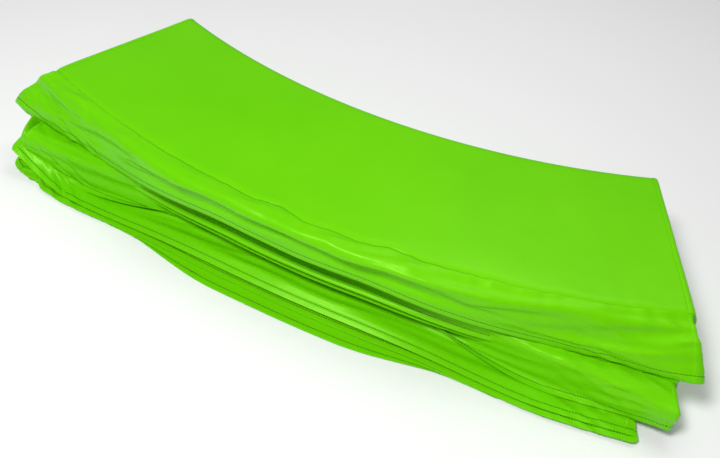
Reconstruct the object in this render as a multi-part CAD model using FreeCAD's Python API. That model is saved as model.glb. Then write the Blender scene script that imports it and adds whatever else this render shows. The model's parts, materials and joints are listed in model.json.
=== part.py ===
import FreeCAD, Part
import math
import os

# A trampoline's padded spring cover, folded flat. The ring is made of eight 45 degree
# sectors, folded in a zigzag into one stack of eight layers. Odd layers lie face up and
# even layers face down, so that two backings meet inside each leaf of two layers.
# Millimetres and degrees. Angles run from -Y towards +X about the ring's centre.

# Driving dimensions
SEAM_RADIUS = 1525.0        # outer seam, over the frame tube of a 3.05 m trampoline
INNER_RADIUS = 1240.0       # inner edge, over the jumping mat's edge
LAYER_COUNT = 8
HALF_SECTOR = 180.0 / LAYER_COUNT
SHEET = 0.6                 # coated fabric, face and backing alike
FOAM = 18.9
LAYER = FOAM + 2 * SHEET
STRAP_ROOM = 2.0            # between the two backings of a leaf
LEAF = 2 * LAYER + STRAP_ROOM
LEAF_GAP = 0.4
LEAF_PITCH = LEAF + LEAF_GAP
STACK = LAYER_COUNT / 2 * LEAF_PITCH - LEAF_GAP
FOLD_ROOM = 17.0            # from a layer's end to the fold's radial line, at the seam
END_ANGLE = HALF_SECTOR - math.degrees(FOLD_ROOM / SEAM_RADIUS)

# Skirt: the valance that hangs from the outer seam
SKIRT_LENGTH = 97.0
SEAM_GAP = 0.1
SKIRT_SPACING = 1.7         # between neighbouring skirts of the stack
FIRST_OFFSET = 1.5          # innermost skirt to the stack's side
FLOOR_OFFSET = 1.1          # lowest skirt's middle to the floor
FLOOR_BEND = 21.0           # lowest skirt's bend radius where it meets the floor
SEAM_DROP = 1.0             # root below the face of an upward layer
SEAM_RISE = 9.0             # root above the face of a downward layer
TURN = 6.0                  # height over which a skirt turns from the seam to hanging
END_FLARE = 62.0            # how far the folds push the skirts out at the ends
FLARE_DEPTH = 60.0          # depth at which the flare is complete
FLARE_REACH = 6.0           # radial distance over which the flare grows
FLARE_POWER = 4
SKIRT_SECTIONS = 13
SKIRT_STATIONS = 17
HEM_STATIONS = 3            # the hem covers the skirt's last stations, about 12 mm
HEM_GAP = 0.15
LINE_STEP = 2.0

# Folds
FOLD_BULGE = 15.0
INNER_FOLD_BULGE = 8.0
FOLD_STATIONS = 13

# Elastic straps, sewn to the backings
STRAP_WIDTH = 25.0
STRAP_THICKNESS = 0.9
STRAP_MARGIN = 20.0         # from the cover's inner and outer edges
STRAP_ANGLE = 8.0

os.makedirs("parts", exist_ok=True)


def spot(radius, angle, height, along=0.0):
    """Point at a radius, angle and height, moved along the tangent by a distance."""
    turn = math.radians(angle)
    x = radius * math.sin(turn) + along * math.cos(turn)
    y = -radius * math.cos(turn) + along * math.sin(turn)
    return FreeCAD.Vector(x, y, height)


def closed_wire(points):
    return Part.makePolygon(points + [points[0]])


def swept(profile, start, end):
    """Solid of a radius-height profile turned about the ring's axis."""
    wire = closed_wire([spot(radius, start, height) for radius, height in profile])
    axis = FreeCAD.Vector(0, 0, 1)
    return Part.Face(wire).revolve(FreeCAD.Vector(0, 0, 0), axis, end - start)


def faces_up(layer):
    return layer % 2 == 1


def leaf_floor(layer):
    """Underside of the leaf that holds the layer."""
    leaf = (layer + 1) // 2
    return LEAF_PITCH * (LAYER_COUNT // 2 - leaf)


def level(layer, depth):
    """Height of a point at a depth behind the layer's face."""
    if faces_up(layer):
        return leaf_floor(layer) + LEAF - depth
    return leaf_floor(layer) + depth


def layer_ring(layer, profile):
    """Profile of radius and depth behind the face, swept over the layer's angle."""
    points = [(radius, level(layer, depth)) for radius, depth in profile]
    return swept(points, -END_ANGLE, END_ANGLE)


def face_sheet(layer):
    """Coated face, turned over both edges of the foam."""
    inner, outer = INNER_RADIUS, SEAM_RADIUS
    return layer_ring(layer, [
        (inner, 0), (outer, 0), (outer, LAYER), (outer - SHEET, LAYER),
        (outer - SHEET, SHEET), (inner + SHEET, SHEET), (inner + SHEET, LAYER), (inner, LAYER)])


def foam_core(layer):
    inner, outer = INNER_RADIUS + SHEET, SEAM_RADIUS - SHEET
    return layer_ring(layer, [
        (inner, SHEET), (outer, SHEET), (outer, LAYER - SHEET), (inner, LAYER - SHEET)])


def backing(layer):
    inner, outer = INNER_RADIUS + SHEET, SEAM_RADIUS - SHEET
    return layer_ring(layer, [
        (inner, LAYER - SHEET), (outer, LAYER - SHEET), (outer, LAYER), (inner, LAYER)])


def strap(layer):
    """Elastic strap, flat on the backing, from near one edge to near the other."""
    angle = -STRAP_ANGLE if faces_up(layer) else STRAP_ANGLE
    near, far = INNER_RADIUS + STRAP_MARGIN, SEAM_RADIUS - STRAP_MARGIN
    half = STRAP_WIDTH / 2
    low = level(layer, LAYER)
    high = level(layer, LAYER + STRAP_THICKNESS)
    corners = [(near, -half), (far, -half), (far, half), (near, half)]
    outline = closed_wire([spot(radius, angle, low, along) for radius, along in corners])
    return Part.Face(outline).extrude(FreeCAD.Vector(0, 0, high - low))


def ease(value):
    """Smooth step from 0 to 1."""
    value = min(max(value, 0.0), 1.0)
    return value * value * (3 - 2 * value)


def resting_line(layer):
    """How a skirt hangs down its stack and then lies out on the floor.

    Upper skirts lie outside and above the lower ones, about one shared bend centre.
    """
    offset = (LAYER_COUNT - layer) * SKIRT_SPACING
    wall = FIRST_OFFSET + offset
    floor = FLOOR_OFFSET + offset
    bend = FLOOR_BEND - offset
    root = level(layer, SEAM_DROP if faces_up(layer) else SEAM_RISE)
    points = []
    height = root
    while height > floor + bend:
        points.append((wall, height))
        height -= LINE_STEP
    step_count = max(2, math.ceil(bend * math.pi / 2 / LINE_STEP))
    for step in range(step_count + 1):
        turn = math.pi / 2 * step / step_count
        height = floor + bend - bend * math.sin(turn)
        if height < root:
            points.append((wall + bend - bend * math.cos(turn), height))
    reach = points[-1][0]
    while reach < wall + 2 * SKIRT_LENGTH:
        reach += LINE_STEP
        points.append((reach, floor))
    turned = [(radius * ease((root - height) / TURN), height) for radius, height in points]
    return [(0.0, root)] + turned[1:]


def flared(line, angle):
    """The same line near a fold, where the folded fabric props the skirts outwards."""
    push = END_FLARE * (abs(angle) / END_ANGLE) ** FLARE_POWER
    result = []
    for radius, height in line:
        depth = min((STACK - height) / FLARE_DEPTH, 1.0)
        result.append((radius + push * depth * (1 - math.exp(-radius / FLARE_REACH)), height))
    return result


def stations(line):
    """Evenly spaced points of the line, from the seam to the skirt's edge."""
    distances = [0.0]
    for (radius, height), (next_radius, next_height) in zip(line, line[1:]):
        distances.append(distances[-1] + math.hypot(next_radius - radius, next_height - height))
    points = []
    index = 0
    for number in range(SKIRT_STATIONS):
        wanted = SKIRT_LENGTH * number / (SKIRT_STATIONS - 1)
        while distances[index + 1] < wanted:
            index += 1
        share = (wanted - distances[index]) / (distances[index + 1] - distances[index])
        (radius, height), (next_radius, next_height) = line[index], line[index + 1]
        points.append((radius + share * (next_radius - radius), height + share * (next_height - height)))
    return points


def thickened(points, first, inner, outer):
    """Closed profile around a line from one of its points on, between two offsets."""
    near, far = [], []
    for index, (radius, height) in enumerate(points):
        before = points[max(index - 1, 0)]
        after = points[min(index + 1, len(points) - 1)]
        along_r, along_z = after[0] - before[0], after[1] - before[1]
        length = math.hypot(along_r, along_z)
        normal_r, normal_z = -along_z / length, along_r / length
        near.append((radius + inner * normal_r, height + inner * normal_z))
        far.append((radius + outer * normal_r, height + outer * normal_z))
    return near[first:] + far[first:][::-1]


def skirt_band(layer, first, inner, outer):
    """Solid band of the skirt from one of its stations to its edge."""
    line = resting_line(layer)
    wires = []
    for section in range(SKIRT_SECTIONS):
        angle = END_ANGLE * (2 * section / (SKIRT_SECTIONS - 1) - 1)
        profile = thickened(stations(flared(line, angle)), first, inner, outer)
        start = SEAM_RADIUS + SHEET / 2 + SEAM_GAP
        wires.append(closed_wire([spot(start + radius, angle, height) for radius, height in profile]))
    return Part.makeLoft(wires, True, False)


def skirt(layer):
    return skirt_band(layer, 0, -SHEET / 2, SHEET / 2)


def hem(layer):
    """Edge of the skirt, turned back behind it and sewn down."""
    near = SHEET / 2 + HEM_GAP
    return skirt_band(layer, SKIRT_STATIONS - HEM_STATIONS, -near - SHEET, -near)


def fold(side, upper, lower, bulge, inner, outer):
    """Sheet that turns around a fold, from one height down to another, past the layers' ends."""
    middle = (upper + lower) / 2
    half_height = (upper - lower) / 2
    wires = []
    for radius in (inner, outer):
        reach = bulge * radius / SEAM_RADIUS
        turns = [math.pi * (0.5 - step / (FOLD_STATIONS - 1)) for step in range(FOLD_STATIONS)]
        shell = [(reach * math.cos(turn), half_height * math.sin(turn)) for turn in turns]
        lining = [((reach - SHEET) * math.cos(turn), (half_height - SHEET) * math.sin(turn))
                  for turn in turns[::-1]]
        wires.append(closed_wire([
            spot(radius, side * END_ANGLE, middle + height, side * along)
            for along, height in shell + lining]))
    return Part.makeLoft(wires, True, True)


def outer_fold(side, top_layer, bottom_layer):
    """Face sheet around a fold, from the upper layer's face to the lower layer's face."""
    return fold(side, level(top_layer, 0), level(bottom_layer, 0), FOLD_BULGE, INNER_RADIUS, SEAM_RADIUS)


def inner_fold(side, top_layer, bottom_layer):
    """Backing around a fold whose two faces meet."""
    return fold(side, level(top_layer, LAYER), level(bottom_layer, LAYER), INNER_FOLD_BULGE,
                INNER_RADIUS + SHEET, SEAM_RADIUS - SHEET)


def build():
    nodes = {}
    for layer in range(1, LAYER_COUNT + 1):
        nodes[f"foam_core_{layer}"] = foam_core(layer)
        nodes[f"face_sheet_{layer}"] = face_sheet(layer)
        nodes[f"backing_{layer}"] = backing(layer)
        nodes[f"skirt_{layer}"] = skirt(layer)
        nodes[f"hem_{layer}"] = hem(layer)
        nodes[f"strap_{layer}"] = strap(layer)
    left, right = -1, 1
    nodes["end_fold_top"] = outer_fold(left, 1, 2)
    nodes["end_fold_bottom"] = outer_fold(left, 7, 8)
    nodes["right_upper_outer_fold"] = outer_fold(right, 1, 4)
    nodes["right_upper_inner_fold"] = inner_fold(right, 2, 3)
    nodes["left_outer_fold"] = outer_fold(left, 3, 6)
    nodes["left_inner_fold"] = inner_fold(left, 4, 5)
    nodes["right_lower_outer_fold"] = outer_fold(right, 5, 8)
    nodes["right_lower_inner_fold"] = inner_fold(right, 6, 7)
    return nodes


def main():
    """The origin is the middle of the folded cover's footprint, on the floor."""
    nodes = build()
    whole = FreeCAD.BoundBox()
    for shape in nodes.values():
        whole.add(shape.BoundBox)
    shift = FreeCAD.Vector(-whole.Center.x, -whole.Center.y, -whole.ZMin)
    for name, shape in nodes.items():
        shape.translate(shift)
        shape.exportStep(f"parts/{name}.step")
    print(f"ring centre at x {shift.x:.3f} y {shift.y:.3f}, lifted {shift.z:.3f}")
    print(f"size {whole.XLength:.1f} x {whole.YLength:.1f} x {whole.ZLength:.1f}")


main()
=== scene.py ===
import json
import math

import bmesh
import bpy
import numpy as np
from mathutils import Matrix, Vector, noise


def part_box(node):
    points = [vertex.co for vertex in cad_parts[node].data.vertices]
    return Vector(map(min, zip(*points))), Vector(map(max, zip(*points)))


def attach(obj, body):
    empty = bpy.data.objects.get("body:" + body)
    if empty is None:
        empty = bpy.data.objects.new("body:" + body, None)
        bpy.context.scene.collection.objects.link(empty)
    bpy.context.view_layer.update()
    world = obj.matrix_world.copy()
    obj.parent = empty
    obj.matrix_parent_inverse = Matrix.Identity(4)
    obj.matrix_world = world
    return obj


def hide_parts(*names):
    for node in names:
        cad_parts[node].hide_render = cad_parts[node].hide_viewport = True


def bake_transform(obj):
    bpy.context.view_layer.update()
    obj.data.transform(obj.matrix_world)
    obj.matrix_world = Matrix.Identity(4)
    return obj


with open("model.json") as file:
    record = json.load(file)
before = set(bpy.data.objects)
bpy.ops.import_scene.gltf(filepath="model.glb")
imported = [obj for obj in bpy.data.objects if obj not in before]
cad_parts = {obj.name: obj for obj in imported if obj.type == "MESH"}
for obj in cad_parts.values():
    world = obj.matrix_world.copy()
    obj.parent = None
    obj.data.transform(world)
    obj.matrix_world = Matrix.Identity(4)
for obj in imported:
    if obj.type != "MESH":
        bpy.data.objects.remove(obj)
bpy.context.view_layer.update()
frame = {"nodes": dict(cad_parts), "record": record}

# A folded spring cover: eight padded layers, their hanging skirts, and the fabric that turns
# at the folds. Lengths are in millimetres and angles in degrees until spot() makes a point of
# them in metres. Layers count from the top, and a skirt's line runs from its seam to its hem.
METRE = 0.001
TINY = 1e-9                     # keeps a vector without length from dividing by zero

# The frame's own sizes
joints = {joint["name"]: joint for joint in frame["record"]["behaviour"]["joints"]}
fold_point = joints["right_lower_fold"]["pos_m"]
fold_axis = joints["right_lower_fold"]["axis"]
CENTRE_Y = (fold_point[1] - fold_point[0] / fold_axis[0] * fold_axis[1]) / METRE
low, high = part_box("face_sheet_8")
SEAM = CENTRE_Y - low.y / METRE
END = math.degrees(math.asin(high.x / METRE / SEAM))
INNER = (CENTRE_Y - high.y / METRE) / math.cos(math.radians(END))
LAYER = (high.z - low.z) / METRE
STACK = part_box("face_sheet_1")[1].z / METRE
LAYERS = range(1, 9)
TOP_LAYER = LAYERS[0]
LOWEST_LAYER = LAYERS[-1]
LEFT, RIGHT = -1, 1

# Which layers each fold joins: name, side, upper layer, lower layer, bulge of the pads' fabric
# and bulge of the hem
FOLDS = [
    ("end_fold_top", LEFT, 1, 2, 13.0, 26.0),
    ("end_fold_bottom", LEFT, 7, 8, 13.0, 28.0),
    ("right_upper_outer_fold", RIGHT, 1, 4, 15.0, 20.0),
    ("right_upper_inner_fold", RIGHT, 2, 3, 8.0, 10.0),
    ("left_outer_fold", LEFT, 3, 6, 14.0, 20.0),
    ("left_inner_fold", LEFT, 4, 5, 8.0, 8.0),
    ("right_lower_outer_fold", RIGHT, 5, 8, 14.0, 12.0),
    ("right_lower_inner_fold", RIGHT, 6, 7, 8.0, 10.0),
]
# How far each layer stops short of the frame's end, left and right
RETREAT = {1: (0, 0), 2: (0, 16), 3: (14, 16), 4: (20, 0), 5: (20, 8), 6: (8, 54), 7: (14, 54), 8: (14, 8)}
# How far each layer has slipped inwards in the middle, and the lower ones outwards at the ends
MIDDLE_SHIFT = {3: -12.0, 4: -34.0, 5: -36.0, 6: -34.0, 7: -30.0, 8: -20.0}
LOWER_SHIFT = {LEFT: 54.0, RIGHT: 58.0}
SHIFTED_FROM = 5
# What counts as the middle of the stack: its centre, half its width, and the fade beyond
MIDDLE_AT = -1.0
MIDDLE_HALF = 4.0
MIDDLE_FADE = 13.0

# Skirts
SKIRT = 97.0
SHEET = 0.7
HEM = 12.0
STITCH_FROM_EDGE = 10.5
COLUMN_COUNT = 260
ROW_COUNT = 40
CLOSE = 0.8                     # between the rows on either side of the stitching and the turned edge
EDGE_INSETS = (8, 6, 4, 2, 0.7, 0)      # the last rows, by their distance from the hem's edge

# A skirt's line near the folds
WALL = {1: 15.0, 2: 12.0, 3: 9.0, 4: 6.5, 5: 8.0, 6: 6.0, 7: 4.0, 8: 2.0}       # its distance from the stack
LIE = {1: 16.0, 2: 14.5, 3: 13.0, 4: 11.5, 5: 9.5, 6: 7.0, 7: 5.2, 8: 2.6}      # its height along the floor
LINE_STEP = 1.5
SEAM_DROP = 2.5                 # where the seam sits on a layer that faces up
SEAM_RISE = 9.0                 # and on one that faces down
TURN = 7.0                      # the drop in which a skirt comes away from its seam
BEND = 14.0                     # radius of the turn out over the floor
BEND_LESS = 1.6                 # for each layer higher up
BEND_LEAST = 2.0
BEND_STEPS = 3
FLOOR_RUN = 2.2 * SKIRT
FLARE_REACH = 6.0               # folded fabric props the skirts outwards
FLARE_DEPTH = 60.0
END_FLARE = 62.0
FLARE_POWER = 4

# The lowest skirt is folded back under itself
TUCKED_LAYER = 8
TUCK_REACH = 74.0
TUCK_DROP = 1.8
TUCK_START = 0.3
TUCK_STEPS = 6
TUCK_BACK = 60
RIGHT_TUCK = 36.0               # how much sooner it turns at the right end
RIGHT_TUCK_FROM = 12
RIGHT_TUCK_RUN = 7
LEFT_TUCK = 18.0                # and a little before the left end
LEFT_TUCK_AT = -17.5
LEFT_TUCK_WIDTH = 2.6

# The lowest loose hem curls up into a roll at its left end
CURLED_LAYER = 7
CURL_START = -18.8
CURL_FADE = 2.2
CURL_LENGTH = 30.0
CURL_RADIUS = 6.0

# A skirt's line in the middle of the stack: radius from the seam and depth below the top
MIDDLE_LINES = {
    1: [(0, 2.5), (10, 2.5), (22, 4.5), (30, 10), (31, 17), (25, 22.5), (17, 25.5), (15, 30), (18, 37),
        (21, 45), (22, 54), (21, 80)],
    2: [(0, 33), (1, 37), (-1, 50), (-9, 62), (-12, 76), (-12, 104), (-9, 110), (0, 111.5), (6, 114),
        (7, 117), (3, 119), (-4, 119), (-9, 117)],
    3: [(-12, 45), (-9, 49), (-12, 62), (-13.5, 75), (-13.5, 115), (-11, 121), (-5, 124), (3, 124.5),
        (14, 122)],
    4: [(-34, 76), (-30, 80), (-28, 95), (-28, 118), (-26, 130), (-21, 135), (-17, 131), (-17, 122),
        (-20, 116), (-21, 100), (-21, 85)],
    5: [(-36, 88), (-31.5, 92), (-31, 120), (-29, 136), (-24, 143), (-17, 145), (-13, 142.5), (-13, 139),
        (-17, 136.5), (-22, 136), (-25, 130), (-25, 110)],
    6: [(-34, 118), (-31, 122), (-28, 140), (-20, 147), (-8, 150), (6, 149), (12, 147), (17, 145.5),
        (24, 148), (44, 158.5), (60, 165)],
    7: [(-30, 130), (-29, 134), (-27, 146), (-18, 152.5), (-9, 158), (6, 161.5), (26, 163.5), (60, 166.3),
        (95, 166.5)],
    8: [(-20, 161), (-17, 163.5), (-10, 166.5), (4, 167.4), (40, 167.6), (95, 168.2)],
}
SMOOTH_STEP = 0.5
SMOOTH_HALF = 4                 # points averaged on either side
SMOOTH_PASSES = 2
NESTING = 2.4                   # keeps the layers apart between the middle and the ends
NESTING_RUN = 20
STACK_MIDDLE = 4.5              # between the fourth and the fifth layer

# At a fold, how far each hem is drawn towards the one that it joins
DRAW_RUN = 4.5
DRAW_POWER = 0.8
UPPER_DRAW = 0.1
LOWER_DRAW = 0.6
TOP_LEFT_DRAW = 0.2
# How far each skirt's hem fans out past its end, left and right
FAN = {1: (26.0, 14.0), 2: (22.0, 8.0)}
FAN_RUN = 9

# Noise is read along the stack in millimetres, at about the seam's arc for each degree
SKIRT_ARC = 27.0
SEAM_ARC = 26.6
PAD_ARC = 26.0
SEED_SPACING = 17.3
CREASE_SHARPNESS = 3

# Skirts that lie together share the same folds, so their relief has the same seed
RELIEF_SEED = {1: 21, 2: 22, 3: 22, 4: 22, 5: 23, 6: 23, 7: 23, 8: 23}
RELIEF_DEPTH = {1: 3.0, 2: 1.6, 3: 1.4, 4: 1.0, 5: 1.4, 6: 1.6, 7: 1.0, 8: 0.4}

# Wrinkles out of a skirt's surface. Sizes are lengths along the skirt and down it.
GATHER_DEPTH = 2.3              # gathers at the seam
GATHER_FADE = 16
GATHER_SIZE = (16, 60)
PULL_DEPTH = 2.2                # slanting pulls, near the ends only
PULL_FROM = 13
PULL_RUN = 6
PULL_ROOT = 12
PULL_SLANT = 1.6
PULL_SIZE = (40, 80)
PULL_SEED = 90
STREAK_SIZE = (170, 24)         # long soft streaks, deeper near the ends
STREAK_OFFSET = 3
STREAK_SLANT = 0.08
STREAK_ROOT = 14
STREAK_STOP = 30
STREAK_FADE = 18
DEEPER = 0.7
DEEPER_FROM = 11
DEEPER_RUN = 8
SWELL_DEPTH = 2.0               # slow waves that grow towards the hem
SWELL_SIZE = (120, 150)
SWELL_SEED = 40
STITCH_DIP = 0.5
STITCH_DIP_WIDTH = 1.0
HEM_RISE = 0.35

# Where the top seam is kinked: depth, angle and width
KINKS = [(6.0, -2.0, 1.1), (-4.0, 0.2, 0.9), (6.0, 5.4, 1.0)]
STRAY_DEPTH = 2.4
STRAY_LENGTH = 60
STRAY_ROW = 3.1
STRAY_SEED = 80
SKIRT_STRAY_FADE = 25
PAD_STRAY_FADE = 30
LEAST_HEIGHT = 0.6              # of a skirt's middle surface over the floor


def spot(radius, angle, height):
    """Point in the frame, in metres, at a radius, an angle from -Y towards +X and a height."""
    turn = math.radians(angle)
    x = radius * math.sin(turn)
    y = CENTRE_Y - radius * math.cos(turn)
    return (x * METRE, y * METRE, height * METRE)


def ease(value):
    """0 below 0, 1 above 1, and a smooth rise between."""
    value = min(max(value, 0.0), 1.0)
    return value * value * (3 - 2 * value)


def bump(value, centre, width):
    return math.exp(-((value - centre) / width) ** 2)


def wave(x, y, seed):
    """Smooth noise from -1 to 1."""
    return noise.noise(Vector((x, y, SEED_SPACING * seed)))


def crease(x, y, seed):
    """Noise with sharp crests at 1 and long slopes below."""
    return 1 - CREASE_SHARPNESS * abs(wave(x, y, seed))


def distances_along(points):
    """Distance of each point from the first, along the line through them."""
    steps = np.linalg.norm(np.diff(points, axis=0), axis=1)
    return np.concatenate([[0.0], np.cumsum(steps)])


# Layers --------------------------------------------------------------------------------

def faces_up(layer):
    return layer % 2 == 1


def leaf_of(layer):
    return f"leaf_{(layer + 1) // 2}"


def side_of(angle):
    return LEFT if angle < 0 else RIGHT


def of_side(pair, side):
    """The left or the right one of a pair of values."""
    return pair[0] if side == LEFT else pair[1]


def face_height(layer):
    lowest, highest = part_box(f"face_sheet_{layer}")
    return (highest.z if faces_up(layer) else lowest.z) / METRE


FACES = {layer: face_height(layer) for layer in LAYERS}


def height_at(layer, depth):
    """Height of a point at a depth behind the layer's face."""
    return FACES[layer] - (depth if faces_up(layer) else -depth)


def middle(angle):
    """1 in the middle of the stack, 0 near its ends."""
    return 1 - ease((abs(angle - MIDDLE_AT) - MIDDLE_HALF) / MIDDLE_FADE)


def shift_at(layer, angle):
    """How far a layer has slipped outwards."""
    inwards = MIDDLE_SHIFT.get(layer, 0.0) * middle(angle)
    outwards = 0.0
    if layer >= SHIFTED_FROM:
        outwards = LOWER_SHIFT[side_of(angle)] * (abs(angle) / END) ** 2
    return inwards + outwards


def wander(layer, angle):
    """How far the seam strays from its circle where the fabric bunches up."""
    strays = STRAY_DEPTH * wave(angle * SEAM_ARC / STRAY_LENGTH, STRAY_ROW, layer + STRAY_SEED)
    if layer != TOP_LAYER:
        return strays
    return strays + sum(depth * bump(angle, place, width) for depth, place, width in KINKS)


def end_angle(layer, side):
    short = of_side(RETREAT[layer], side)
    return side * (END - math.degrees(short / SEAM))


def fold_layers(layer, side):
    """The upper and the lower layer of the fold that a layer belongs to."""
    return next((upper, lower) for _, fold_side, upper, lower, _, _ in FOLDS
                if fold_side == side and layer in (upper, lower))


# Skirt lines ---------------------------------------------------------------------------

def station_list():
    """Distances from the seam, closer together at the hem."""
    stitch = SKIRT - STITCH_FROM_EDGE
    edge = [SKIRT - HEM + CLOSE, stitch - CLOSE, stitch, stitch + CLOSE]
    edge += [SKIRT - inset for inset in EDGE_INSETS]
    body = np.linspace(0, SKIRT - HEM, ROW_COUNT - len(edge))
    return np.concatenate([body, edge])


STATIONS = station_list()
STITCH_ROW = int(np.argmin(abs(STATIONS - (SKIRT - STITCH_FROM_EDGE))))


def at_stations(line):
    """The line's points at the stations' distances from the seam."""
    points = np.array(line)
    distance = distances_along(points)
    return np.stack([np.interp(STATIONS, distance, points[:, axis]) for axis in range(2)], axis=1)


def smooth_line(points):
    """Points along a rounded line through a few control points."""
    points = np.array(points, float)
    distance = distances_along(points)
    fine = np.arange(0, distance[-1], SMOOTH_STEP)
    line = np.stack([np.interp(fine, distance, points[:, axis]) for axis in range(2)], axis=1)
    window = 2 * SMOOTH_HALF + 1
    for _ in range(SMOOTH_PASSES):
        ends = np.repeat(line[:1], SMOOTH_HALF, 0), np.repeat(line[-1:], SMOOTH_HALF, 0)
        padded = np.concatenate([ends[0], line, ends[1]])
        line = np.stack([np.convolve(padded[:, axis], np.ones(window) / window, "valid")
                         for axis in range(2)], axis=1)
    line[0] = points[0]
    return line


def middle_profile(layer):
    shift = MIDDLE_SHIFT.get(layer, 0.0)
    line = smooth_line([(radius - shift, STACK - depth) for radius, depth in MIDDLE_LINES[layer]])
    return at_stations(line)


MIDDLE_PROFILES = {layer: middle_profile(layer) for layer in LAYERS}


def resting_line(layer):
    """A skirt's radius and height from the seam, down the stack and out over the floor."""
    wall, lie = WALL[layer], LIE[layer]
    bend = max(BEND - (LOWEST_LAYER - layer) * BEND_LESS, BEND_LEAST)
    root = height_at(layer, SEAM_DROP if faces_up(layer) else SEAM_RISE)
    points = []
    height = root
    while height > lie + bend:
        points.append((wall, height))
        height -= LINE_STEP
    steps = max(BEND_STEPS, math.ceil(bend * math.pi / 2 / LINE_STEP))
    for step in range(steps + 1):
        turn = math.pi / 2 * step / steps
        height = lie + bend - bend * math.sin(turn)
        if height < root:
            points.append((wall + bend - bend * math.cos(turn), height))
    reach = points[-1][0]
    while reach < wall + FLOOR_RUN:
        reach += LINE_STEP
        points.append((reach, lie))
    turned = [(radius * ease((root - height) / TURN), height) for radius, height in points]
    return [(0.0, root)] + turned[1:]


def flared(line, angle):
    """The line near a fold, where the folded fabric props the skirts outwards."""
    push = END_FLARE * (abs(angle) / END) ** FLARE_POWER
    result = []
    for radius, height in line:
        depth = min((STACK - height) / FLARE_DEPTH, 1.0)
        result.append((radius + push * depth * (1 - math.exp(-radius / FLARE_REACH)), height))
    return result


def tucked(line, angle):
    """The line of a skirt whose edge is folded back under itself on the floor."""
    sooner_right = RIGHT_TUCK * ease((angle - RIGHT_TUCK_FROM) / RIGHT_TUCK_RUN)
    sooner_left = LEFT_TUCK * bump(angle, LEFT_TUCK_AT, LEFT_TUCK_WIDTH)
    reach = TUCK_REACH - (sooner_right + sooner_left)
    kept = [point for point in line if point[0] < reach]
    height = kept[-1][1]
    half = TUCK_DROP / 2
    turn = [(reach + half * math.sin(a), height - half * (1 - math.cos(a)))
            for a in np.linspace(TUCK_START, math.pi, TUCK_STEPS)]
    back = [(reach - run, height - TUCK_DROP) for run in np.arange(LINE_STEP, TUCK_BACK, LINE_STEP)]
    return kept + turn + back


def curled(points, angle):
    """The hem rolled up off the floor, more towards the left end."""
    share = ease((CURL_START - angle) / CURL_FADE)
    run = np.maximum(STATIONS - (SKIRT - CURL_LENGTH), 0)
    first = np.argmax(run > 0)
    turn = run / CURL_RADIUS
    radius = points[first, 0] + CURL_RADIUS * np.sin(turn)
    height = points[first, 1] + CURL_RADIUS * (1 - np.cos(turn))
    rolled = np.where(run[:, None] > 0, np.stack([radius, height], axis=1), points)
    return share * rolled + (1 - share) * points


def end_profile(layer, angle):
    """The skirt's line as it lies near the folds."""
    line = flared(resting_line(layer), angle)
    if layer == TUCKED_LAYER:
        line = tucked(line, angle)
    points = at_stations(line)
    return curled(points, angle) if layer == CURLED_LAYER else points


def plain_profile(layer, angle):
    """The skirt's line at an angle, between its line in the middle and that near the folds."""
    share = middle(angle)
    points = share * MIDDLE_PROFILES[layer] + (1 - share) * end_profile(layer, angle)
    apart = NESTING * (STACK_MIDDLE - layer) * 4 * share * (1 - share)
    points[:, 0] += apart * np.minimum(STATIONS / NESTING_RUN, 1)
    return points


def draw_share(layer, upper, side):
    if layer == upper:
        return UPPER_DRAW
    return TOP_LEFT_DRAW if upper == TOP_LAYER and side == LEFT else LOWER_DRAW


def profile(layer, angle):
    """Radius and height of the skirt at an angle, drawn at a fold towards the one it joins."""
    points = plain_profile(layer, angle)
    side = side_of(angle)
    upper, lower = fold_layers(layer, side)
    near = ease((abs(angle) - END + DRAW_RUN) / DRAW_RUN)
    if near > 0:
        other = plain_profile(upper if layer == lower else lower, angle)
        gap = other[:, 1] - points[:, 1]
        points[:, 1] += near * draw_share(layer, upper, side) * (STATIONS / SKIRT) ** DRAW_POWER * gap
    strays = wander(layer, angle) * np.exp(-STATIONS / SKIRT_STRAY_FADE)
    points[:, 0] += shift_at(layer, angle) - strays
    return points


def gathers(layer, distance, along):
    length, run = GATHER_SIZE
    return GATHER_DEPTH * math.exp(-distance / GATHER_FADE) * wave(along / length, distance / run, layer)


def pulls(distance, along, angle):
    length, run = PULL_SIZE
    depth = PULL_DEPTH * ease((abs(angle) - PULL_FROM) / PULL_RUN) * ease(distance / PULL_ROOT)
    slanted = along - distance * PULL_SLANT
    return depth * crease(slanted / length, distance / run, PULL_SEED)


def streaks(layer, distance, along, angle):
    length, run = STREAK_SIZE
    depth = RELIEF_DEPTH[layer] * (1 + DEEPER * ease((abs(angle) - DEEPER_FROM) / DEEPER_RUN))
    slanted = distance + along * STREAK_SLANT
    height = depth * crease(along / length + STREAK_OFFSET, slanted / run, RELIEF_SEED[layer])
    beside_hem = ease((distance - SKIRT + STREAK_STOP) / STREAK_FADE)
    return height * (ease(distance / STREAK_ROOT) * (1 - beside_hem))


def swell(layer, distance, along):
    length, run = SWELL_SIZE
    growth = distance / SKIRT
    return SWELL_DEPTH * growth * wave(along / length, distance / run, SWELL_SEED + RELIEF_SEED[layer])


def relief(layer, distance, angle):
    """How far a skirt's wrinkles stand out of its surface, with the stitching's dip and the hem's rise."""
    along = angle * SKIRT_ARC
    wrinkles = (gathers(layer, distance, along) + pulls(distance, along, angle)
                + streaks(layer, distance, along, angle) + swell(layer, distance, along))
    dip = STITCH_DIP * bump(distance, SKIRT - STITCH_FROM_EDGE, STITCH_DIP_WIDTH)
    return wrinkles - dip + HEM_RISE * ease((distance - SKIRT + HEM) / CLOSE)


def fan_at(layer, angle):
    """Degrees by which the hem reaches past the seam's angle, only near the ends."""
    reach = math.degrees(of_side(FAN.get(layer, (0.0, 0.0)), side_of(angle)) / SEAM)
    return math.copysign(reach * ease((abs(angle) - END + FAN_RUN) / FAN_RUN), angle)


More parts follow.
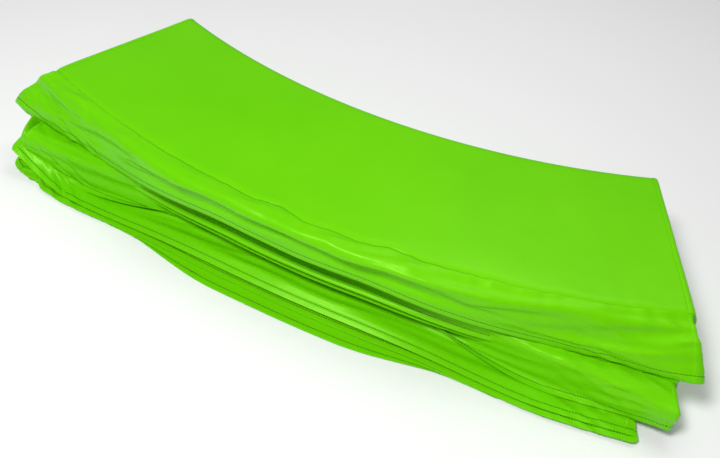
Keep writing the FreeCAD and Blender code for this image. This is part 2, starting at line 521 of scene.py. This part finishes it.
def skirt_column(layer, angle, proud=0.0):
    """Points of the skirt at an angle, stood proud of its surface by a distance."""
    points = profile(layer, angle)
    slope = np.gradient(points, axis=0)
    slope /= np.linalg.norm(slope, axis=1)[:, None] + TINY
    lift = np.array([relief(layer, distance, angle) for distance in STATIONS]) + proud
    radius = points[:, 0] - slope[:, 1] * lift
    height = np.maximum(points[:, 1] + slope[:, 0] * lift, LEAST_HEIGHT)
    turned = angle + fan_at(layer, angle) * (STATIONS / SKIRT)
    return [spot(SEAM + r, a, z) for r, a, z in zip(radius, turned, height)]


def angles_of(layer, count):
    return np.linspace(end_angle(layer, LEFT), end_angle(layer, RIGHT), count)


def skirt_grid(layer):
    """Points of the skirt's middle surface: columns by angle, rows from seam to hem."""
    return np.array([skirt_column(layer, angle) for angle in angles_of(layer, COLUMN_COUNT)])


# Mesh helpers --------------------------------------------------------------------------

def outward(mesh):
    """Turns a closed mesh's faces outwards."""
    form = bmesh.new()
    form.from_mesh(mesh)
    bmesh.ops.recalc_face_normals(form, faces=form.faces)
    form.to_mesh(mesh)
    form.free()


def new_piece(name, vertices, faces, materials, smooth=True):
    mesh = bpy.data.meshes.new(name)
    mesh.from_pydata([tuple(v) for v in vertices], [], faces)
    outward(mesh)
    for material in materials:
        mesh.materials.append(material)
    if smooth:
        mesh.polygons.foreach_set("use_smooth", [True] * len(mesh.polygons))
    piece = bpy.data.objects.new(name, mesh)
    bpy.context.scene.collection.objects.link(piece)
    return piece


def grid_faces(columns, rows, offset=0, flip=False):
    faces = []
    for column in range(columns - 1):
        for row in range(rows - 1):
            a = offset + column * rows + row
            face = (a, a + 1, a + rows + 1, a + rows)
            faces.append(face[::-1] if flip else face)
    return faces


def rim_faces(columns, rows):
    """Faces between a grid's edge and the edge of a second grid numbered after it."""
    count = columns * rows
    rim = ([column * rows for column in range(columns)]
           + [(columns - 1) * rows + row for row in range(1, rows)]
           + [column * rows + rows - 1 for column in range(columns - 2, -1, -1)]
           + [row for row in range(rows - 2, 0, -1)])
    return [(here, there, there + count, here + count) for here, there in zip(rim, rim[1:] + rim[:1])]


def normals_of(grid):
    across = np.gradient(grid, axis=0)
    down = np.gradient(grid, axis=1)
    normal = np.cross(down, across)
    return normal / (np.linalg.norm(normal, axis=2)[:, :, None] + TINY * METRE)


def slab(grid, inner, outer):
    """Closed thin sheet around a grid of points, between two offsets in millimetres."""
    columns, rows = grid.shape[:2]
    normal = normals_of(grid)
    front = (grid + normal * outer * METRE).reshape(-1, 3)
    back = (grid + normal * inner * METRE).reshape(-1, 3)
    faces = grid_faces(columns, rows) + grid_faces(columns, rows, columns * rows, flip=True)
    return np.concatenate([front, back]), faces + rim_faces(columns, rows)


# Materials -----------------------------------------------------------------------------

TINT_SCALE = 3.0
TINT_DETAIL = 3.0
TINT_SPAN = (0.3, 0.7)
ROUGH_SCALE = 24.0
ROUGH_DETAIL = 2.0
ROUGH_SPAN = (-0.05, 0.07)
WEAVE_SCALE = 160.0
WEAVE_DISTORTION = 0.4
WEAVE_HEIGHT = 0.0002
CREASE_SCALE = 30.0
CREASE_DETAIL = 4.0
CREASE_STRENGTH = 0.12
CREASE_HEIGHT = 0.004
SPECULAR = 0.3


def node(tree, kind, inputs=None, **values):
    """A new node with input values by name and settings."""
    made = tree.nodes.new(kind)
    for key, value in values.items():
        setattr(made, key, value)
    for key, value in (inputs or {}).items():
        made.inputs[key].default_value = value
    return made


def noise_factor(tree, where, scale, detail):
    texture = node(tree, "ShaderNodeTexNoise", {"Scale": scale, "Detail": detail})
    tree.links.new(where, texture.inputs["Vector"])
    return texture.outputs["Fac"]


def varied_colour(tree, where, dark, light):
    """Slow change between two colours."""
    ramp = node(tree, "ShaderNodeValToRGB")
    for element, position, colour in zip(ramp.color_ramp.elements, TINT_SPAN, (dark, light)):
        element.position = position
        element.color = (*colour, 1)
    tree.links.new(noise_factor(tree, where, TINT_SCALE, TINT_DETAIL), ramp.inputs["Fac"])
    return ramp.outputs["Color"]


def varied_roughness(tree, where, roughness):
    least, most = ROUGH_SPAN
    spread = node(tree, "ShaderNodeMapRange", {"To Min": roughness + least, "To Max": roughness + most})
    tree.links.new(noise_factor(tree, where, ROUGH_SCALE, ROUGH_DETAIL), spread.inputs["Value"])
    return spread.outputs["Result"]


def weave_height(tree, where):
    """Square weave: the highest of three sets of bands."""
    highest = None
    for direction in ("X", "Y", "Z"):
        bands = node(tree, "ShaderNodeTexWave", {"Scale": WEAVE_SCALE, "Distortion": WEAVE_DISTORTION},
                     bands_direction=direction)
        tree.links.new(where, bands.inputs["Vector"])
        height = bands.outputs["Fac"]
        if highest:
            larger = node(tree, "ShaderNodeMath", operation="MAXIMUM")
            tree.links.new(highest, larger.inputs[0])
            tree.links.new(height, larger.inputs[1])
            height = larger.outputs[0]
        highest = height
    return highest


def bumped(tree, height, strength, distance):
    bump_node = node(tree, "ShaderNodeBump", {"Strength": strength, "Distance": distance})
    tree.links.new(height, bump_node.inputs["Height"])
    return bump_node


def coated_fabric(name, dark, light, roughness, weave_depth, sheen=(1.0, 1.0, 1.0)):
    """Coated fabric: slow colour variation, a faint square weave and fine creases."""
    material = bpy.data.materials.new(name)
    material.use_nodes = True
    tree = material.node_tree
    shader = tree.nodes["Principled BSDF"]
    where = node(tree, "ShaderNodeTexCoord").outputs["Object"]
    tree.links.new(varied_colour(tree, where, dark, light), shader.inputs["Base Color"])
    tree.links.new(varied_roughness(tree, where, roughness), shader.inputs["Roughness"])
    weave = bumped(tree, weave_height(tree, where), weave_depth, WEAVE_HEIGHT)
    fine = noise_factor(tree, where, CREASE_SCALE, CREASE_DETAIL)
    creases = bumped(tree, fine, CREASE_STRENGTH, CREASE_HEIGHT)
    tree.links.new(weave.outputs["Normal"], creases.inputs["Normal"])
    tree.links.new(creases.outputs["Normal"], shader.inputs["Normal"])
    shader.inputs["Specular IOR Level"].default_value = SPECULAR
    shader.inputs["Specular Tint"].default_value = (*sheen, 1)
    return material


cover = coated_fabric("cover", (0.130, 0.59, 0.001), (0.160, 0.65, 0.002), 0.30, 0.35, sheen=(0.6, 1.0, 0.2))
backing = coated_fabric("backing", (0.006, 0.03, 0.006), (0.012, 0.05, 0.01), 0.6, 0.6)
webbing = coated_fabric("webbing", (0.010, 0.010, 0.010), (0.03, 0.03, 0.03), 0.8, 1.0)
thread = coated_fabric("thread", (0.004, 0.04, 0.002), (0.008, 0.07, 0.003), 0.7, 0.5)


# Pads ----------------------------------------------------------------------------------

PAD_INNER = INNER - 5.0         # the stuffed edge stands a little proud of the plain frame's
PAD_COLUMNS = 150
FACE_ROWS = 26
EDGE_ROWS = 9
EDGE_ROUND = 5.5
EDGE_RUN = 13.0
FACE_PINCH = 3.2                # at the seam, how far the face and the back are drawn in
BACK_PINCH = 9.0
CROWN_DEPTH = 1.1               # slow waves of the face, by length along it and across it
CROWN_SIZE = (150, 110)
CROWN_INNER_RUN = 40
CROWN_SEAM_RUN = 25
DENT_DEPTH = 1.2                # dents near the seam
DENT_AT = 16
DENT_WIDTH = 12
DENT_LENGTH = 34
DENT_ROW = 0.5
DENT_SEED = 60
HIDDEN_DENTS = 0.5              # share of them on the layers below the top one


def drawn_in(radius, pinch):
    """Depth of a pad's surface at a radius: rounded at the inner edge, pinched at the seam."""
    inner = max(0.0, 1 - (radius - PAD_INNER) / EDGE_RUN)
    outer = max(0.0, 1 - (SEAM - radius) / EDGE_RUN)
    return EDGE_ROUND * (1 - math.sqrt(max(0.0, 1 - inner ** 2))) + pinch * outer ** 2


def pad_radii():
    """Radii of a pad's rows, closer together at both edges."""
    edge = EDGE_RUN * (1 - np.cos(np.linspace(0, math.pi / 2, EDGE_ROWS)))
    face = np.linspace(PAD_INNER + EDGE_RUN, SEAM - EDGE_RUN, FACE_ROWS)[1:-1]
    return np.concatenate([PAD_INNER + edge, face, SEAM - edge[::-1]])


RADII = pad_radii()


def undulation(layer, radius, angle):
    """Slow waves of the pad's face, and dents where the seam bunches up."""
    along = angle * PAD_ARC
    length, run = CROWN_SIZE
    inside = min((radius - INNER) / CROWN_INNER_RUN, (SEAM - radius) / CROWN_SEAM_RUN, 1.0)
    slow = CROWN_DEPTH * wave(along / length, radius / run, layer) * inside
    dents = DENT_DEPTH * bump(SEAM - radius, DENT_AT, DENT_WIDTH)
    dents *= wave(along / DENT_LENGTH, DENT_ROW, layer + DENT_SEED)
    return slow - abs(dents)


def strayed(layer, radius, angle):
    """A pad's radius after its layer has slipped and its seam has bunched up."""
    near_seam = math.exp(-(SEAM - radius) / PAD_STRAY_FADE)
    return radius + shift_at(layer, angle) - wander(layer, angle) * near_seam


def face_spot(layer, radius, angle):
    """Point of a pad's face. Only the top layer rises over its plane."""
    lift = undulation(layer, radius, angle)
    if layer != TOP_LAYER:
        lift = min(lift, 0.0) * HIDDEN_DENTS
    depth = drawn_in(radius, FACE_PINCH) - lift
    return spot(strayed(layer, radius, angle), angle, height_at(layer, depth))


def back_spot(layer, radius, angle):
    depth = LAYER - drawn_in(radius, BACK_PINCH)
    return spot(radius + shift_at(layer, angle), angle, height_at(layer, depth))


def pad(layer):
    """Padded layer: a closed form with a crowned face, a flat backing and rounded edges."""
    places = [(radius, angle) for angle in angles_of(layer, PAD_COLUMNS) for radius in RADII]
    vertices = [face_spot(layer, *place) for place in places]
    vertices += [back_spot(layer, *place) for place in places]
    rows = len(RADII)
    up = faces_up(layer)
    face = grid_faces(PAD_COLUMNS, rows, flip=up)
    back = grid_faces(PAD_COLUMNS, rows, len(places), flip=not up)
    edge = rim_faces(PAD_COLUMNS, rows)
    if not up:
        edge = [side[::-1] for side in edge]
    piece = new_piece(f"pad_{layer}", vertices, face + back + edge, [cover, backing])
    for polygon in piece.data.polygons[len(face):len(face) + len(back)]:
        polygon.material_index = 1
    piece.data.update()
    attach(piece, leaf_of(layer))
    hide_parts(f"foam_core_{layer}", f"face_sheet_{layer}", f"backing_{layer}")


# Skirt pieces --------------------------------------------------------------------------

HEM_OFFSETS = (-SHEET / 2 - 0.75, -SHEET / 2 - 0.05)    # the turned edge, just behind the skirt
STITCH_PITCH = 4.2
STITCH_LENGTH = 3.0
STITCH_RADIUS = 0.5
STITCH_SIDES = 6
# A stitch's rings: share of its length, and height over the sheet
STITCH_RINGS = ((0.0, -0.2), (0.2, 0.25), (0.5, 0.4), (0.8, 0.25), (1.0, -0.2))


def skirt(layer, grid):
    vertices, faces = slab(grid, -SHEET / 2, SHEET / 2)
    piece = new_piece(f"skirt_cloth_{layer}", vertices, faces, [cover])
    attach(piece, leaf_of(layer))
    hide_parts(f"skirt_{layer}")
    return piece


def hem(layer, grid):
    """The skirt's edge turned back behind it."""
    first = int(np.searchsorted(STATIONS, SKIRT - HEM))
    vertices, faces = slab(grid[:, first:], *HEM_OFFSETS)
    piece = new_piece(f"hem_turned_{layer}", vertices, faces, [cover])
    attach(piece, leaf_of(layer))
    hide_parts(f"hem_{layer}")
    return piece


def stitch_vertices(first, last, out):
    """A short round thread that dips at both ends."""
    along = last - first
    side = np.cross(along, out)
    side /= np.linalg.norm(side)
    vertices = []
    for share, lift in STITCH_RINGS:
        centre = first + along * share + out * (lift + SHEET / 2) * METRE
        for turn in range(STITCH_SIDES):
            angle = 2 * math.pi * turn / STITCH_SIDES
            vertices.append(centre + STITCH_RADIUS * METRE * (math.cos(angle) * side + math.sin(angle) * out))
    return vertices


def stitch_faces(base):
    """Faces of a stitch whose vertices start at a number."""
    faces = []
    for ring in range(len(STITCH_RINGS) - 1):
        for turn in range(STITCH_SIDES):
            a = base + ring * STITCH_SIDES + turn
            b = base + ring * STITCH_SIDES + (turn + 1) % STITCH_SIDES
            faces.append((a, b, b + STITCH_SIDES, a + STITCH_SIDES))
    last_ring = base + (len(STITCH_RINGS) - 1) * STITCH_SIDES
    faces.append(tuple(range(base + STITCH_SIDES - 1, base - 1, -1)))
    faces.append(tuple(range(last_ring, last_ring + STITCH_SIDES)))
    return faces


def stitch_row(name, line, normal):
    """Separate stitches along a line of points.

    Also gives how far along the line's points each vertex is, from 0 to 1.
    """
    distance = distances_along(line) / METRE
    order = np.linspace(0, 1, len(line))
    vertices, faces, places = [], [], []

    def at(values, where):
        return np.array([np.interp(where, distance, values[:, axis]) for axis in range(3)])

    for number in range(int(distance[-1] / STITCH_PITCH)):
        centre = (number + 0.5) * STITCH_PITCH
        first = at(line, centre - STITCH_LENGTH / 2)
        last = at(line, centre + STITCH_LENGTH / 2)
        faces += stitch_faces(len(vertices))
        stitch = stitch_vertices(first, last, at(normal, centre))
        vertices += stitch
        places += [float(np.interp(centre, distance, order))] * len(stitch)
    piece = new_piece(name, vertices, faces, [thread])
    return piece, places


def skirt_set(layer):
    grid = skirt_grid(layer)
    cloth = skirt(layer, grid)
    turned = hem(layer, grid)
    normal = normals_of(grid)[:, STITCH_ROW]
    stitches, _ = stitch_row(f"hem_stitches_{layer}", grid[:, STITCH_ROW], normal)
    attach(stitches, leaf_of(layer))


# Folds ---------------------------------------------------------------------------------

FOLD_COLUMNS = 23
PROUD = 0.12            # how far the fold's fabric stands over the fabric that it laps
LAP = 5.0
LAP_STEPS = 2
HEM_ROOT_BULGE = 5.0    # at the seam, growing to the hem's own bulge


def fold_depth(layer, radius, angle, inner):
    """Depth of the fold's fabric behind a layer's face: on the face, or on the back for an inner fold."""
    if inner:
        return LAYER - drawn_in(radius, BACK_PINCH)
    crown = undulation(layer, radius, angle) if layer == TOP_LAYER else 0.0
    return drawn_in(radius, FACE_PINCH) - crown - PROUD


def leaf_edge(layer, angle, inner):
    """Points across one layer's end, from its inner edge over the pad to the skirt's hem."""
    over_pad = [spot(strayed(layer, radius, angle), angle,
                     height_at(layer, fold_depth(layer, radius, angle, inner))) for radius in RADII]
    return np.array(over_pad + skirt_column(layer, angle, PROUD))


def edge_bulges(bulge, hem_bulge):
    """How far the fabric bulges out at each of a layer's end points."""
    over_pad = [bulge * radius / SEAM for radius in RADII]
    down_skirt = [HEM_ROOT_BULGE + (hem_bulge - HEM_ROOT_BULGE) * ease(distance / SKIRT)
                  for distance in STATIONS]
    return np.array(over_pad + down_skirt)


def fold_grid(side, upper, lower, bulges, inner):
    """Fabric around a fold: columns from the upper layer to the lower, rows from inner edge to hem.

    It laps a little over both layers, and the columns there have shares 0 and 1.
    """
    lap = math.degrees(LAP / SEAM) * side
    angle_top, angle_bottom = end_angle(upper, side), end_angle(lower, side)
    top, bottom = leaf_edge(upper, angle_top, inner), leaf_edge(lower, angle_bottom, inner)
    turn_away = math.radians(angle_top)
    out_direction = np.array([math.cos(turn_away), math.sin(turn_away), 0]) * side
    grid, shares = [], []
    for step in range(LAP_STEPS, 0, -1):
        grid.append(leaf_edge(upper, angle_top - lap * step / LAP_STEPS, inner))
        shares.append(0.0)
    for column in range(FOLD_COLUMNS):
        turn = math.pi * column / (FOLD_COLUMNS - 1)
        share = (1 - math.cos(turn)) / 2
        reach = bulges[:, None] * METRE * math.sin(turn)
        grid.append(top + (bottom - top) * share + out_direction * reach)
        shares.append(column / (FOLD_COLUMNS - 1))
    for step in range(1, LAP_STEPS + 1):
        grid.append(leaf_edge(lower, angle_bottom - lap * step / LAP_STEPS, inner))
        shares.append(1.0)
    return np.array(grid), shares


def follow(piece, shares, upper_body, lower_body):
    """Attaches a piece within one leaf to that leaf's body; otherwise lays the points along a line by their
    shares, bakes the transform, then puts the points back.
    """
    if upper_body == lower_body:
        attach(piece, upper_body)
        return
    shape = [vertex.co.copy() for vertex in piece.data.vertices]
    for vertex, share in zip(piece.data.vertices, shares):
        vertex.co = (share, 0, 0)
    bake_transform(piece)
    for vertex, place in zip(piece.data.vertices, shape):
        vertex.co = place
    piece.data.update()


def fold(name, side, upper, lower, bulge, hem_bulge):
    grid, shares = fold_grid(side, upper, lower, edge_bulges(bulge, hem_bulge), "inner" in name)
    half = SHEET / 2 * side
    vertices, faces = slab(grid, -half, half)
    piece = new_piece(f"{name}_cloth", vertices, faces, [cover])
    bodies = leaf_of(upper), leaf_of(lower)
    follow(piece, np.tile(np.repeat(shares, grid.shape[1]), 2), *bodies)
    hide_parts(name)

    row = len(RADII) + STITCH_ROW
    normal = normals_of(grid)[:, row] * side
    stitches, places = stitch_row(f"{name}_stitches", grid[:, row], normal)
    follow(stitches, np.interp(places, np.linspace(0, 1, len(shares)), shares), *bodies)


# Camera, lights and floor --------------------------------------------------------------

# Degrees and millimetres
CAMERA_AZIMUTH = -21.54
CAMERA_ELEVATION = 46.38
CAMERA_ROLL = 5.75
CAMERA_PLACE = (386, CENTRE_Y - 2283, STACK + 881)
LENS = 40
SENSOR = 36
# Metres, and watts for the lights' power
FLOOR_HALF = 8.0
FLOOR_LEVEL = -0.0005
FLOOR_COLOUR = (0.93, 0.93, 0.93, 1)
FLOOR_ROUGHNESS = 0.9
WORLD_STRENGTH = 0.20
LIGHT_TARGET = (0, -0.1, 0.1)
# Name, place, size and power
LIGHTS = [
    ("key", (-0.35, -1.3, 2.4), 0.6, 54),
    ("low front", (0.1, -2.4, 0.9), 0.35, 4),
    ("top", (0.3, 1.0, 2.4), 1.4, 18),
]


def place_camera():
    azimuth, elevation = math.radians(CAMERA_AZIMUTH), math.radians(CAMERA_ELEVATION)
    roll = math.radians(CAMERA_ROLL)
    forward = Vector((math.sin(azimuth) * math.cos(elevation), math.cos(azimuth) * math.cos(elevation),
                      -math.sin(elevation)))
    right = Vector((math.cos(azimuth), -math.sin(azimuth), 0))
    up = right.cross(forward)
    rolled_right = math.cos(roll) * right + math.sin(roll) * up
    rolled_up = math.cos(roll) * up - math.sin(roll) * right
    data = bpy.data.cameras.new("camera")
    data.lens = LENS
    data.sensor_width = SENSOR
    camera = bpy.data.objects.new("camera", data)
    turned = Matrix((rolled_right, rolled_up, -forward)).transposed()
    camera.matrix_world = Matrix.Translation(Vector(CAMERA_PLACE) * METRE) @ turned.to_4x4()
    bpy.context.scene.collection.objects.link(camera)
    bpy.context.scene.camera = camera


def area_light(name, place, size, power):
    data = bpy.data.lights.new(name, "AREA")
    data.size = size
    data.energy = power
    light = bpy.data.objects.new(name, data)
    light.location = place
    light.rotation_euler = (Vector(LIGHT_TARGET) - Vector(place)).to_track_quat("-Z", "Y").to_euler()
    bpy.context.scene.collection.objects.link(light)


def floor():
    material = bpy.data.materials.new("floor")
    material.use_nodes = True
    shader = material.node_tree.nodes["Principled BSDF"]
    shader.inputs["Base Color"].default_value = FLOOR_COLOUR
    shader.inputs["Roughness"].default_value = FLOOR_ROUGHNESS
    corners = [(x * FLOOR_HALF, y * FLOOR_HALF, FLOOR_LEVEL) for x, y in ((-1, -1), (1, -1), (1, 1), (-1, 1))]
    new_piece("floor", corners, [(0, 1, 2, 3)], [material], smooth=False)


def studio():
    world = bpy.data.worlds.new("world")
    world.use_nodes = True
    background = world.node_tree.nodes["Background"]
    background.inputs["Color"].default_value = (1, 1, 1, 1)
    background.inputs["Strength"].default_value = WORLD_STRENGTH
    bpy.context.scene.world = world
    bpy.context.scene.view_settings.view_transform = "Standard"
    for light in LIGHTS:
        area_light(*light)


# Build ---------------------------------------------------------------------------------

def dress_strap(layer):
    """The frame's own strap stays, and only its material changes."""
    strap = frame["nodes"][f"strap_{layer}"]
    strap.data.materials.clear()
    strap.data.materials.append(webbing)


for layer in LAYERS:
    pad(layer)
    skirt_set(layer)
    dress_strap(layer)
for fold_values in FOLDS:
    fold(*fold_values)
place_camera()
floor()
studio()
